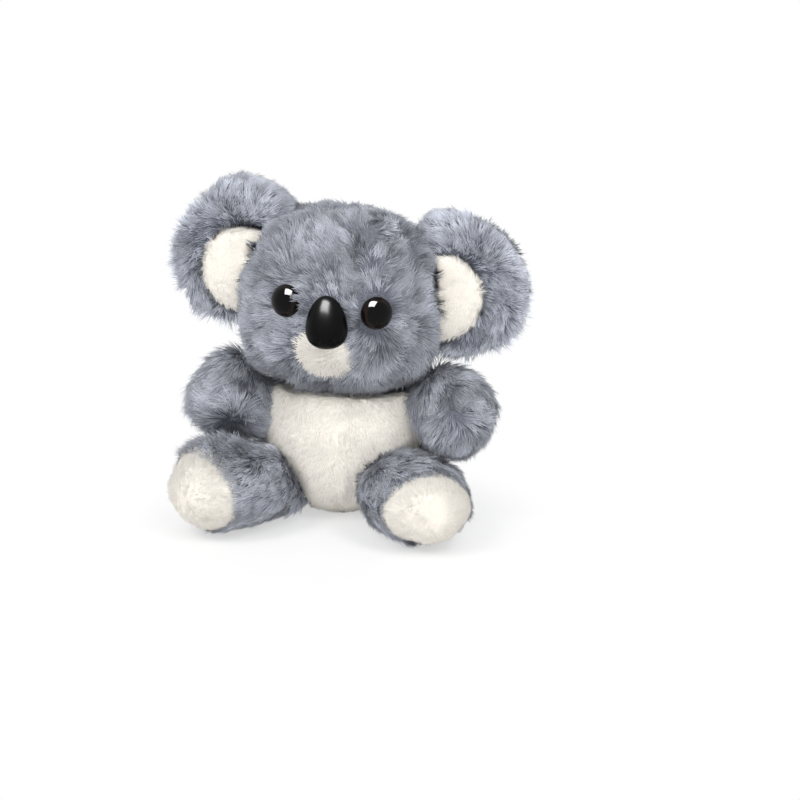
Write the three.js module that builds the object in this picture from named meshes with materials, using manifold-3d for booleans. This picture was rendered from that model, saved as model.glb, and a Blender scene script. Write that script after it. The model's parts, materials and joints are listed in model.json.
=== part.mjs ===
// A sitting plush koala. Millimetres, +Z up, the face looks along -Y, and the toy's own left is +X.
// The origin is on the floor under the middle of the seat.
// Each soft form is a cover of pile cloth round its stuffing. The covers' outsides follow the laid pile.

import * as THREE from 'three';
import Module from 'manifold-3d';

// Driving sizes of the sitting toy
const torsoWidth = 116;
const torsoDepth = 100;
const torsoHeight = 116;
const headWidth = 139;
const headDepth = 110;
const headHeight = 121;
const chinLevel = 85.5; // the head's underside over the floor
const headForward = 8;
const headAside = 0;
const armLength = 62;
const armWidth = 54;
const armDepth = 50;
const legLength = 120;
const legWidth = 70;
const legHeight = 56;
const earSpan = 98;
const earHeight = 100;

// Cloth and fits
const coverThickness = 4.5; // knitted backing with its pile laid down
const clearance = 0.3; // between pieces that touch
const swingClearance = 0.6; // between a hand and the knee that it swings past
const seatSink = 0.5; // how deep the forms that it stands on are pressed flat
const overrun = 20; // how far a cutting form reaches past what it cuts

// Openings that the stuffing passes through, each filled by a round wad
const neckRadius = 24;
const neckAbove = 92;
const neckBack = 2;
const shoulderRadius = 15;
const shoulderAbove = 75;
const shoulderForward = 4;
const shoulderApart = 100;
const hipRadius = 21;
const hipAbove = 27.5;
const hipForward = 16;
const hipApart = 64;
const wadFit = 0.7; // between a round wad and its opening

// Head
const headTilt = 6.5; // degrees, towards the toy's left shoulder
const headTurn = 1; // degrees, to the toy's left
const headTurnLimits = [-30, 30];
const headNodLimit = 7;
const muzzleSwell = 6;
const muzzleWidth = 62;
const muzzleHeight = 56;
const muzzleBelow = 10;
const faceSeamBack = 8; // the seam that the ears are caught in, behind the head's middle
const chestGap = 7; // between the chest and the head, filled by pile, which lets the head nod

// Eyes, nose and the patch under it
const eyeDiameter = 20;
const eyeDome = 7.5;
const eyeSpacing = 57;
const eyeRise = 2.5; // over the head's middle
const eyeStem = 3;
const eyeStemLength = 13;
const stemRib = 0.5;
const noseWidth = 27;
const noseHeight = 35;
const noseDepth = 22;
const noseSink = 2; // how far its flat back lies under the pile
const noseDrop = 6.5;
const noseStem = 4;
const noseStemLength = 12;
const noseFullness = 2.2;
const noseLeanShare = 0.16; // narrower towards its top
const nostrilRadius = 1.8;
const nostrilSpacing = 9;
const nostrilDrop = 12; // under the nose's middle
const washerThickness = 1.6;
const washerRim = 4.5;
const chinWidth = 36;
const chinHeight = 30;
const chinPatchRise = 30.5; // its middle over the head's underside
const faceSlopeStep = 5; // the distance over which the face's slope is read

// Ears
const earOut = 71; // the ear's middle from the head's
const earUp = 18;
const earBowl = 56; // width and height of the opening round the lining
const earBowlDrop = 12; // how much lower the opening lies than the ear's middle
const earRimDepth = 33;
const earBackDepth = 12;
const earBowlDepth = 3; // the bowl's floor in front of the ear's middle plane
const earLiningThickness = 5;
const earLiningShares = [[0.86, 0], [0.98, 0.2], [0.9, 0.8], [0.6, 1]]; // of its radius and its thickness
const earInnerShare = 0.5; // the ring half way in to the bowl's middle
const earBowlFootShare = 0.08; // how far the bowl's wall leans in at its foot
const earRimFrom = 105; // degrees round the rim's section where it leaves the back
const earRimRound = 285; // degrees that the rim's section rolls through
const earRootOut = 59;
const earRootUp = 11;
const earRootRadius = 14;
const earSeamLean = 17; // degrees that the ear's sewn edge leans inwards
const earFoldLimits = [-15, 15];

// Arms
const arms = { // where each arm's middle lies, and how many degrees its hand points outwards and forwards
  left: { out: 72.5, forward: 22, above: 75.3, outwards: 32, forwards: 40 },
  right: { out: 68.5, forward: 17, above: 80.3, outwards: 16, forwards: 39 },
};
const armBend = 5;
const armSwingInwards = 20; // degrees that the swing turns in towards the belly as the arm lifts
const armSwingLimits = [0, 35]; // degrees, lifted forwards

// Legs
const legSpreads = { left: 26, right: 38 }; // degrees outwards as it sits
const legSwingLimits = { left: [11, 30], right: [9, 38] }; // degrees outwards, as far as the hands allow
const legStart = 20; // how far a leg reaches back past its hip
const soleReach = 28; // how far the white sole comes back round the foot

// Belly
const bellyWidth = 104;
const bellyBottom = 2.5;
// How far the belly's edge lies across and up, from its foot to the chest
const bellyEdgeShares = [
  [0, 0], [0.55, 0.04], [0.84, 0.24], [0.98, 0.46], [0.96, 0.66], [0.76, 0.84], [0.66, 1],
];
const bellySideBack = 6; // how far in front of the toy's middle the side seams lie

// Seat
const pelletBagWidth = 40;
const pelletBagDepth = 34;
const pelletBagHeight = 20;
const pelletBagBack = 9;
const pelletBagAbove = 2; // over the cloth, which curves up round it

// How full each form is: 2 is an ellipsoid, more is squarer. Lean is how much wider it is below.
const torsoFullness = 2.4;
const torsoLeanShare = 0.05;
const headFullness = 2.4;
const headLeanShare = 0.05;
const armFullness = 2.4;
const armLeanShare = 0.08;
const legFullness = 2.5;
const legLeanShare = 0.07;
const bagFullness = 2.2;

const wadDetail = 2; // how finely the round wads are divided

const wasm = await Module();
wasm.setup();

const grey = new THREE.MeshStandardMaterial({ color: 0x8b92a3, roughness: 0.95 });
const white = new THREE.MeshStandardMaterial({ color: 0xf3f0ea, roughness: 0.95 });
const fibre = new THREE.MeshStandardMaterial({ color: 0xf6f5f1, roughness: 1 });
const linen = new THREE.MeshStandardMaterial({ color: 0xd9d2c4, roughness: 0.9 });
const black = new THREE.MeshStandardMaterial({ color: 0x0b0a0a, roughness: 0.08 });
const brown = new THREE.MeshStandardMaterial({ color: 0x140b08, roughness: 0.05 });
const clear = new THREE.MeshStandardMaterial({ color: 0xe9e9e6, roughness: 0.4 });

// Geometry from rings of points, closed by one point at each end
function closedRings(firstPole, rings, lastPole) {
  const around = rings[0].length;
  const points = [firstPole, ...rings.flat(), lastPole];
  const last = points.length - 1;
  const faces = [];
  const at = (ring, step) => 1 + ring * around + (step % around);
  for (let step = 0; step < around; step += 1) {
    faces.push(0, at(0, step + 1), at(0, step));
    for (let ring = 0; ring + 1 < rings.length; ring += 1) {
      faces.push(at(ring, step), at(ring, step + 1), at(ring + 1, step));
      faces.push(at(ring, step + 1), at(ring + 1, step + 1), at(ring + 1, step));
    }
    faces.push(last, at(rings.length - 1, step), at(rings.length - 1, step + 1));
  }
  const geometry = new THREE.BufferGeometry();
  geometry.setFromPoints(points);
  geometry.setIndex(faces);
  return geometry;
}

// A stuffed form: rings that swell from one end to the other, leaning and bending on the way
function stuffedForm(size, [around, along]) {
  const { width, depth, height, fullness, leanShare = 0, bend = 0, swell = null } = size;
  const rings = [];
  for (let ring = 1; ring < along; ring += 1) {
    const rise = -Math.PI / 2 + (Math.PI * ring) / along;
    const up = Math.sign(Math.sin(rise)) * Math.abs(Math.sin(rise)) ** (2 / fullness);
    const out = Math.cos(rise) ** (2 / fullness) * (1 - leanShare * up);
    const aside = bend * (1 - up * up);
    rings.push(Array.from({ length: around }, (_, step) => {
      const turn = (2 * Math.PI * step) / around;
      const x = (width / 2) * out * Math.cos(turn);
      const y = (depth / 2) * out * Math.sin(turn);
      const z = (height / 2) * up;
      const point = new THREE.Vector3(x + aside, y, z);
      return swell ? swell(point) : point;
    }));
  }
  const low = new THREE.Vector3(0, 0, -height / 2);
  const high = new THREE.Vector3(0, 0, height / 2);
  return closedRings(low, rings, high);
}

// The same form a cloth's thickness, or a clearance, further in or out
function grown(size, by) {
  const { width, depth, height } = size;
  return { ...size, width: width + 2 * by, depth: depth + 2 * by, height: height + 2 * by };
}

function toSolid(geometry, matrix = new THREE.Matrix4()) {
  const moved = geometry.clone().applyMatrix4(matrix);
  const position = moved.getAttribute('position');
  const index = moved.getIndex()?.array ?? Array.from({ length: position.count }, (_, at) => at);
  const triVerts = new Uint32Array(index);
  if (matrix.determinant() < 0) triVerts.reverse(); // a mirrored form is turned the right way out
  const mesh = new wasm.Mesh({
    numProp: 3,
    vertProperties: new Float32Array(position.array),
    triVerts,
  });
  mesh.merge();
  return new wasm.Manifold(mesh);
}

function toGeometry(solid) {
  const { vertProperties, triVerts } = solid.getMesh();
  const geometry = new THREE.BufferGeometry();
  geometry.setAttribute('position', new THREE.BufferAttribute(vertProperties, 3));
  geometry.setIndex(new THREE.BufferAttribute(triVerts, 1));
  geometry.computeVertexNormals();
  return geometry;
}

function cut(solid, ...tools) {
  return tools.flat().reduce((left, tool) => left.subtract(tool), solid);
}

// A cut can leave a crumb beside the piece, which isn't cloth
function wholePiece(solid) {
  const parts = solid.decompose();
  return parts.reduce((most, part) => (part.volume() > most.volume() ? part : most));
}

function piece(name, solid, material) {
  const mesh = new THREE.Mesh(toGeometry(wholePiece(solid)), material);
  mesh.name = name;
  return mesh;
}

function wad(radius, centre) {
  const ball = new THREE.IcosahedronGeometry(radius, wadDetail);
  ball.deleteAttribute('normal');
  ball.deleteAttribute('uv');
  return toSolid(ball, new THREE.Matrix4().setPosition(centre));
}

// The round opening that a wad of stuffing fills
function hollowFor(radius, centre) {
  return wad(radius + wadFit, centre);
}

function block(width, depth, height, centre) {
  const box = new THREE.BoxGeometry(width, depth, height);
  return toSolid(box, new THREE.Matrix4().setPosition(centre));
}

const degrees = THREE.MathUtils.degToRad;
const placed = (at) => new THREE.Matrix4().setPosition(at);
const headAbove = chinLevel + headHeight / 2;
const reach = 2 * (headAbove + headHeight); // longer than anything on the toy

// Places
const torsoMiddle = new THREE.Vector3(0, 0, torsoHeight / 2 - seatSink);
const headMiddle = new THREE.Vector3(headAside, -headForward, headAbove);
const neck = new THREE.Vector3(headAside, neckBack, neckAbove);
const sides = { left: 1, right: -1 };
const shoulder = (side) => new THREE.Vector3(
  (sides[side] * shoulderApart) / 2, -shoulderForward, shoulderAbove);
const hip = (side) => new THREE.Vector3((sides[side] * hipApart) / 2, -hipForward, hipAbove);

const headFrame = new THREE.Matrix4().makeRotationFromEuler(
  new THREE.Euler(0, degrees(headTilt), degrees(headTurn), 'ZYX')).setPosition(headMiddle);

const torsoSize = {
  width: torsoWidth,
  depth: torsoDepth,
  height: torsoHeight,
  fullness: torsoFullness,
  leanShare: torsoLeanShare,
};
const headSize = {
  width: headWidth,
  depth: headDepth,
  height: headHeight,
  fullness: headFullness,
  leanShare: headLeanShare,
  swell: muzzled,
};

const bagSize = {
  width: pelletBagWidth,
  depth: pelletBagDepth,
  height: pelletBagHeight,
  fullness: bagFullness,
};

// The muzzle stands a little proud of the face
function muzzled(point) {
  const aside = point.x / (muzzleWidth / 2);
  const over = (point.z + muzzleBelow) / (muzzleHeight / 2);
  const front = Math.max(0, -point.y / (headDepth / 2));
  const push = muzzleSwell * front * Math.exp(-aside * aside - over * over);
  return point.setY(point.y - push);
}

// How many steps each form takes round it and along it: outside, and inside where only stuffing shows
const torsoSteps = { outside: [20, 12], inside: [12, 7] };
const headSteps = { outside: [20, 12], inside: [12, 8] };
const armSteps = { outside: [14, 9], inside: [9, 6] };
const legSteps = { outside: [15, 11], inside: [10, 7] };
const noseSteps = [16, 10];
const bagSteps = [14, 6];
const swingSteps = 3; // places in a swing where the larger form is cut away from what swings
const armSwingSteps = 5;

const torsoForm = (by, steps = torsoSteps.outside, frame = new THREE.Matrix4()) => toSolid(
  stuffedForm(grown(torsoSize, by), steps), frame.clone().multiply(placed(torsoMiddle)));
const headForm = (by, steps = headSteps.outside, frame = new THREE.Matrix4()) => toSolid(
  stuffedForm(grown(headSize, by), steps), frame);

const turned = (pivot, axis, angle) => new THREE.Matrix4()
  .makeTranslation(pivot)
  .multiply(new THREE.Matrix4().makeRotationAxis(axis, degrees(angle)))
  .multiply(new THREE.Matrix4().makeTranslation(pivot.clone().negate()));

// What a larger form takes from a limb over the limb's whole swing, in the limb's own frame
function sweptBy(formAt, pivot, axis, angles, frame) {
  const back = frame.clone().invert();
  return angles.map((angle) => formAt(back.clone().multiply(turned(pivot, axis, -angle))));
}

const torsoAt = (frame) => torsoForm(clearance, torsoSteps.outside, frame);
const headAt = (frame) => headForm(clearance, headSteps.outside, frame.clone().multiply(headFrame));
const upright = new THREE.Vector3(0, 0, 1);
const sideways = new THREE.Vector3(1, 0, 0);

// The head nodding to its limit over one shoulder or the other, where a raised arm comes nearest to it
const noddingHeads = headTurnLimits.map((turn) => {
  const pose = turned(neck, upright, turn).multiply(turned(neck, sideways, headNodLimit));
  return (frame) => headAt(frame.clone().multiply(pose));
});

function stepsBetween([low, high], steps = swingSteps) {
  return Array.from({ length: steps }, (_, step) => low + ((high - low) * step) / (steps - 1));
}

const ground = block(reach, reach, reach, new THREE.Vector3(0, 0, -reach / 2));
const hollows = [
  hollowFor(neckRadius, neck),
  ...Object.keys(sides).map((side) => hollowFor(shoulderRadius, shoulder(side))),
  ...Object.keys(sides).map((side) => hollowFor(hipRadius, hip(side))),
];

// The outline of the belly seen from the front, from its middle seam outwards
function bellyOutline(by) {
  const half = bellyWidth / 2 + 2 * by;
  const top = torsoHeight;
  const bottom = bellyBottom - by;
  const rise = top - bottom;
  const outline = new THREE.Shape();
  const edge = bellyEdgeShares.map(([across, up]) => new THREE.Vector2(across * half, bottom + up * rise));
  outline.moveTo(0, bottom);
  outline.splineThru(edge.slice(1));
  outline.lineTo(0, top);
  return outline;
}

// Half of the belly's outline pushed back from in front of the toy to the side seams
function bellyTool(side, by) {
  const front = torsoDepth / 2 + overrun;
  const depth = front - bellySideBack + by;
  const options = { depth, bevelEnabled: false, curveSegments: 3 };
  const half = new THREE.ExtrudeGeometry(bellyOutline(by), options);
  half.deleteAttribute('normal');
  half.deleteAttribute('uv');
  const stand = new THREE.Matrix4().makeRotationX(Math.PI / 2).setPosition(0, -front + depth, 0);
  const besideSeam = new THREE.Matrix4().makeTranslation(clearance / 2 - by, 0, 0);
  const mirrored = new THREE.Matrix4().makeScale(sides[side], 1, 1);
  return toSolid(half, mirrored.multiply(besideSeam).multiply(stand));
}

function makeTorso() {
  const group = new THREE.Group();
  const seat = headForm(chestGap, headSteps.inside, headFrame);
  const hollow = torsoForm(-coverThickness, torsoSteps.inside);
  const shell = cut(torsoForm(0), hollow, ground, seat, hollows);
  const panels = Object.keys(sides).map((side) => bellyTool(side, 0));
  const openings = Object.keys(sides).map((side) => bellyTool(side, clearance));
  group.add(piece('back_panel', cut(shell, openings), grey));
  group.add(piece('belly_left', shell.intersect(panels[0]), white));
  group.add(piece('belly_right', shell.intersect(panels[1]), white));

  const bagAt = new THREE.Vector3(0, pelletBagBack, coverThickness + pelletBagAbove + pelletBagHeight / 2);
  const bagForm = (by) => toSolid(stuffedForm(grown(bagSize, by), bagSteps), placed(bagAt));
  const under = block(pelletBagWidth / 2, pelletBagDepth / 2, bagAt.z, bagAt.clone().setZ(bagAt.z / 2));
  const inside = torsoForm(-coverThickness - clearance, torsoSteps.inside);
  group.add(piece('torso_stuffing', cut(inside, seat, hollows, bagForm(clearance), under), fibre));
  group.add(piece('pellet_bag', cut(bagForm(0), ground), linen));
  return group;
}

function makeNeck() {
  const group = new THREE.Group();
  group.add(piece('neck_stuffing', wad(neckRadius, neck), fibre));
  return group;
}

// Where the face's surface lies at a place on it, seen from the front
function faceDepth(x, z) {
  const { width, depth, height, fullness, leanShare } = headSize;
  const up = z / (height / 2);
  const out = (1 - Math.abs(up) ** fullness) ** (1 / fullness) * (1 - leanShare * up);
  const y = -(depth / 2) * Math.sqrt(out * out - (x / (width / 2)) ** 2);
  return muzzled(new THREE.Vector3(x, y, z)).y;
}

// The frame of something pushed through the face: its Z looks out of the face
function faceFrame(x, z) {
  const step = faceSlopeStep;
  const here = new THREE.Vector3(x, faceDepth(x, z), z);
  const along = new THREE.Vector3(2 * step, faceDepth(x + step, z) - faceDepth(x - step, z), 0).normalize();
  const up = new THREE.Vector3(0, faceDepth(x, z + step) - faceDepth(x, z - step), 2 * step).normalize();
  const outward = new THREE.Vector3().crossVectors(along, up).normalize();
  const over = new THREE.Vector3().crossVectors(outward, along).normalize();
  return new THREE.Matrix4().makeBasis(along, over, outward).setPosition(here);
}

function lathe(profile, segments = 14) {
  const points = profile.map(([radius, height]) => new THREE.Vector2(radius, height));
  const turnedForm = new THREE.LatheGeometry(points, segments);
  turnedForm.deleteAttribute('normal');
  turnedForm.deleteAttribute('uv');
  return turnedForm;
}

const domeSteps = 5;
const latheOutward = new THREE.Matrix4().makeRotationX(Math.PI / 2);

// A stem with locking ribs, from its tip up to the back of what it carries
function stemProfile(radius, length) {
  const ribs = 3;
  const pitch = length / (ribs + 2);
  const profile = [[0, -length], [radius - stemRib, -length]];
  for (let rib = 0; rib < ribs; rib += 1) {
    const low = -length + pitch * (rib + 1);
    profile.push([radius, low], [radius - stemRib, low + pitch / 2]);
  }
  return profile;
}

function eyeGeometry() {
  const radius = eyeDiameter / 2;
  const dome = Array.from({ length: domeSteps + 1 }, (_, step) => {
    const rise = (Math.PI / 2) * (step / domeSteps);
    return [radius * Math.cos(rise), eyeDome * Math.sin(rise)];
  });
  dome[dome.length - 1][0] = 0;
  return lathe([...stemProfile(eyeStem, eyeStemLength), [eyeStem, 0], ...dome]);
}

// The ring that locks a stem behind the cloth
function washerGeometry(stem) {
  const inner = stem + clearance;
  const outer = stem + washerRim;
  return lathe([[inner, 0], [outer, 0], [outer, washerThickness], [inner, washerThickness], [inner, 0]]);
}

function makeHead() {
  const group = new THREE.Group();
  group.applyMatrix4(headFrame);
  const inHead = headFrame.clone().invert();
  const neckHollow = hollowFor(neckRadius, neck.clone().applyMatrix4(inHead));
  const earHollows = Object.values(sides).map((side) => hollowFor(earRootRadius, earRoot(side)));
  const washerAt = -coverThickness - 2 * clearance - washerThickness;

  const fittings = [
    { name: 'eye_left', x: eyeSpacing / 2, z: eyeRise, stem: eyeStem, material: brown },
    { name: 'eye_right', x: -eyeSpacing / 2, z: eyeRise, stem: eyeStem, material: brown },
    { name: 'nose', x: 0, z: -noseDrop, stem: noseStem, material: black },
  ].map((fitting) => {
    const frame = faceFrame(fitting.x, fitting.z);
    const outward = frame.clone().multiply(latheOutward);
    const isNose = fitting.name === 'nose';
    const solid = isNose ? noseSolid(frame, outward) : toSolid(eyeGeometry(), outward);
    const length = isNose ? noseStemLength : eyeStemLength;
    const radius = fitting.stem + clearance;
    const tip = -length - clearance;
    const hole = toSolid(lathe([[0, tip], [radius, tip], [radius, overrun], [0, overrun]]), outward);
    const washerFrame = outward.clone().multiply(new THREE.Matrix4().makeTranslation(0, washerAt, 0));
    const washer = toSolid(washerGeometry(fitting.stem), washerFrame);
    const room = fitting.stem + washerRim + clearance;
    const low = washerAt - clearance;
    const high = washerAt + washerThickness + clearance;
    const pocket = toSolid(lathe([[0, low], [room, low], [room, high], [0, high]]), outward);
    const envelope = isNose ? noseForm(clearance, frame) : toSolid(eyeEnvelope(), outward);
    return { ...fitting, solid, hole, washer, pocket, envelope };
  });

  const envelopes = fittings.map((fitting) => fitting.envelope);
  const holes = fittings.map((fitting) => fitting.hole);
  const hollow = headForm(-coverThickness, headSteps.inside);
  const pockets = fittings.map((fitting) => fitting.pocket);
  const shell = cut(headForm(0), hollow, neckHollow, earHollows, envelopes, holes, pockets);
  const back = block(reach, reach, reach, new THREE.Vector3(0, reach / 2 + faceSeamBack, 0));
  const front = block(reach, reach, reach, new THREE.Vector3(0, faceSeamBack - clearance - reach / 2, 0));
  group.add(piece('face_panel', cut(shell.intersect(front), chinTool(clearance)), grey));
  group.add(piece('head_back_panel', shell.intersect(back), grey));
  group.add(piece('chin_patch', shell.intersect(chinTool(0)), white));
  const inside = headForm(-coverThickness - clearance, headSteps.inside);
  group.add(piece('head_stuffing', cut(inside, neckHollow, earHollows, envelopes, holes, pockets), fibre));
  fittings.forEach(({ name, solid, washer, material }) => {
    group.add(piece(name, solid, material));
    group.add(piece(`${name}_washer`, washer, clear));
  });
  return group;
}

function eyeEnvelope() {
  const radius = eyeDiameter / 2 + clearance;
  return lathe([[0, -clearance], [radius, -clearance], [radius, eyeDome], [0, eyeDome]]);
}

function noseForm(by, frame) {
  const size = {
    width: noseWidth,
    depth: noseDepth,
    height: noseHeight,
    fullness: noseFullness,
    leanShare: noseLeanShare,
  };
  const stand = new THREE.Matrix4().makeBasis(
    new THREE.Vector3(1, 0, 0), new THREE.Vector3(0, 0, -1), new THREE.Vector3(0, 1, 0));
  const egg = toSolid(stuffedForm(grown(size, by), noseSteps), frame.clone().multiply(stand));
  const behind = new THREE.BoxGeometry(noseHeight * 2, noseHeight * 2, noseHeight);
  const flat = new THREE.Matrix4().makeTranslation(0, 0, -noseSink - by - noseHeight / 2);
  return cut(egg, toSolid(behind, frame.clone().multiply(flat)));
}

function noseSolid(frame, outward) {
  const stem = toSolid(lathe([...stemProfile(noseStem, noseStemLength), [noseStem, 0], [0, 0]]), outward);
  const share = nostrilDrop / (noseHeight / 2);
  const proud = (noseDepth / 2) * (1 - share ** noseFullness) ** (1 / noseFullness);
  const nostrils = Object.values(sides).map((side) => {
    const at = new THREE.Vector3((side * nostrilSpacing) / 2, -nostrilDrop, proud);
    return wad(nostrilRadius, at.applyMatrix4(frame));
  });
  return cut(noseForm(0, frame).add(stem), nostrils);
}

function chinTool(by) {
  const outline = new THREE.Shape();
  const middle = chinPatchRise - headHeight / 2;
  outline.absellipse(0, middle, chinWidth / 2 + by, chinHeight / 2 + by, 0, 2 * Math.PI);
  const depth = headDepth / 2 + overrun;
  const tool = new THREE.ExtrudeGeometry(outline, { depth, bevelEnabled: false, curveSegments: 12 });
  tool.deleteAttribute('normal');
  tool.deleteAttribute('uv');
  return toSolid(tool, new THREE.Matrix4().makeRotationX(Math.PI / 2));
}

const earRoot = (side) => new THREE.Vector3(side * earRootOut, faceSeamBack, earRootUp);

// Places on an ear: share 0 is the edge of its bowl and 1 its outer edge. Below 0 runs to the bowl's middle.
function earPoint(share, turn, y, by) {
  const bowl = new THREE.Vector2(Math.cos(turn), Math.sin(turn)).multiplyScalar(earBowl / 2 - by);
  const rim = new THREE.Vector2(
    (earSpan / 2 + by) * Math.cos(turn), earBowlDrop + (earHeight / 2 + by) * Math.sin(turn));
  const at = share < 0 ? bowl.multiplyScalar(1 + share) : bowl.lerp(rim, share);
  return new THREE.Vector3(at.x, y, at.y);
}

// A cup with a fat rolled rim. The rim's section runs from the back, round the outside, into the bowl.
function earCup(by) {
  const around = 19;
  const sections = 6;
  const profile = [[-earInnerShare, earBackDepth + by]];
  for (let step = 0; step <= sections; step += 1) {
    const turn = degrees(earRimFrom - (earRimRound * step) / sections);
    profile.push([(1 + Math.cos(turn)) / 2, (earRimDepth / 2 + by) * Math.sin(turn)]);
  }
  profile.push([-earBowlFootShare, -earBowlDepth - by]);
  profile.push([-earInnerShare, -earBowlDepth - by]);
  const rings = profile.map(([share, y]) => Array.from({ length: around }, (_, step) => (
    earPoint(share, (2 * Math.PI * step) / around, y, by))));
  const backPole = new THREE.Vector3(0, earBackDepth + by, 0);
  const bowlPole = new THREE.Vector3(0, -earBowlDepth - by, 0);
  return closedRings(backPole, rings, bowlPole);
}

// The white pad that lines the bowl
function earLining() {
  const around = 14;
  const radius = earBowl / 2 - clearance;
  const back = -earBowlDepth - clearance;
  const front = back - earLiningThickness;
  const rings = earLiningShares.map(([out, proud]) => Array.from({ length: around }, (_, step) => {
    const turn = (2 * Math.PI * step) / around;
    const y = back - earLiningThickness * proud;
    return new THREE.Vector3(radius * out * Math.cos(turn), y, radius * out * Math.sin(turn));
  }));
  return closedRings(new THREE.Vector3(0, back, 0), rings, new THREE.Vector3(0, front, 0));
}

function makeEar(side) {
  const group = new THREE.Group();
  const sign = sides[side];
  const frame = new THREE.Matrix4().makeScale(sign, 1, 1).setPosition(
    sign * earOut, faceSeamBack, earUp - earBowlDrop);
  const lean = degrees(-sign * earSeamLean);
  const axis = new THREE.Vector3(Math.sin(lean), 0, Math.cos(lean));
  const root = earRoot(sign);
  const headHere = (matrix) => headForm(clearance, headSteps.outside, matrix);
  const headCuts = sweptBy(headHere, root, axis, stepsBetween(earFoldLimits), new THREE.Matrix4());
  const cup = cut(toSolid(earCup(0), frame), headCuts).add(wad(earRootRadius, root));
  const lining = cut(toSolid(earLining(), frame), headCuts, wad(earRootRadius + clearance, root));
  group.add(piece(`ear_${side}_cup`, cup, grey));
  group.add(piece(`ear_${side}_lining`, lining, white));
  return group;
}

const legSize = {
  width: legWidth,
  depth: legHeight,
  height: legLength,
  fullness: legFullness,
  leanShare: legLeanShare,
};
const legLie = new THREE.Matrix4().makeRotationX(-Math.PI / 2).setPosition(0, legStart - legLength / 2, 0);

// A leg lying down with its hip at the origin, pointing forwards
const legForm = (by, steps = legSteps.outside, frame = new THREE.Matrix4()) => toSolid(
  stuffedForm(grown(legSize, by), steps), frame.clone().multiply(legLie));

const hipFrame = (side) => new THREE.Matrix4()
  .makeRotationZ(degrees(sides[side] * legSpreads[side])).setPosition(hip(side));

// The turns that take a leg from its rest to the limits of its swing
const legTurns = (side) => stepsBetween(legSwingLimits[side]).map(
  (angle) => sides[side] * (angle - legSpreads[side]));

function makeArm(side) {
  const sign = sides[side];
  const group = new THREE.Group();
  const { out, forward, above, outwards, forwards } = arms[side];
  group.position.set(sign * out, -forward, above);
  group.rotation.set(degrees(-forwards), degrees(-sign * outwards), 0, 'YXZ');
  group.updateMatrix();
  const frame = group.matrix.clone();
  const pivot = shoulder(side);
  const size = {
    width: armWidth,
    depth: armDepth,
    height: armLength,
    fullness: armFullness,
    leanShare: armLeanShare,
    bend: sign * armBend,
  };
  const form = (by, steps = armSteps.inside) => toSolid(stuffedForm(grown(size, by), steps));
  const inwards = degrees(armSwingInwards);
  const axis = new THREE.Vector3(-Math.cos(inwards), sign * Math.sin(inwards), 0);
  const swings = stepsBetween(armSwingLimits, armSwingSteps);
  const legAt = (matrix) => legForm(
    swingClearance, legSteps.outside, matrix.clone().multiply(hipFrame(side)));
  const cuts = [
    ...[torsoAt, headAt, legAt].flatMap((formAt) => sweptBy(formAt, pivot, axis, swings, frame)),
    ...noddingHeads.flatMap((formAt) => sweptBy(formAt, pivot, axis, armSwingLimits, frame)),
    ...sweptBy(headAt, neck, upright, stepsBetween(headTurnLimits), frame),
    ...sweptBy(legAt, hip(side), upright, legTurns(side).map((angle) => -angle), frame),
  ];
  const root = pivot.clone().applyMatrix4(frame.clone().invert());
  const hollow = wad(shoulderRadius + clearance, root);
  const core = form(-coverThickness - clearance);
  const cover = cut(form(0, armSteps.outside), form(-coverThickness), cuts, hollow);
  group.add(piece(`arm_${side}_cover`, cover, grey));
  group.add(piece(`arm_${side}_stuffing`, cut(core, cuts).add(wad(shoulderRadius, root)), fibre));
  return group;
}

function makeLeg(side) {
  const group = new THREE.Group();
  group.applyMatrix4(hipFrame(side));
  const cuts = sweptBy(torsoAt, hip(side), upright, legTurns(side), hipFrame(side));
  const floor = block(reach, reach, reach, new THREE.Vector3(0, 0, -hipAbove - reach / 2));
  const root = new THREE.Vector3();
  const hollow = wad(hipRadius + clearance, root);
  const inside = legForm(-coverThickness, legSteps.inside);
  const shell = cut(legForm(0), inside, cuts, hollow, floor);
  const tip = legStart - legLength;
  const foot = (by) => block(reach, 2 * (soleReach + by), reach, new THREE.Vector3(0, tip, 0));
  group.add(piece(`leg_${side}_cover`, cut(shell, foot(clearance)), grey));
  group.add(piece(`leg_${side}_sole`, shell.intersect(foot(0)), white));
  const core = legForm(-coverThickness - clearance, legSteps.inside);
  group.add(piece(`leg_${side}_stuffing`, cut(core, cuts).add(wad(hipRadius, root)), fibre));
  return group;
}

const koala = new THREE.Group();
const head = makeHead();
koala.add(makeTorso(), makeNeck(), head);
for (const side of Object.keys(sides)) {
  head.add(makeEar(side));
  koala.add(makeArm(side), makeLeg(side));
}

export default koala;
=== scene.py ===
import json
import math
import bpy
import numpy as np
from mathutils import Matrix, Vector
from mathutils.bvhtree import BVHTree


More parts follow.
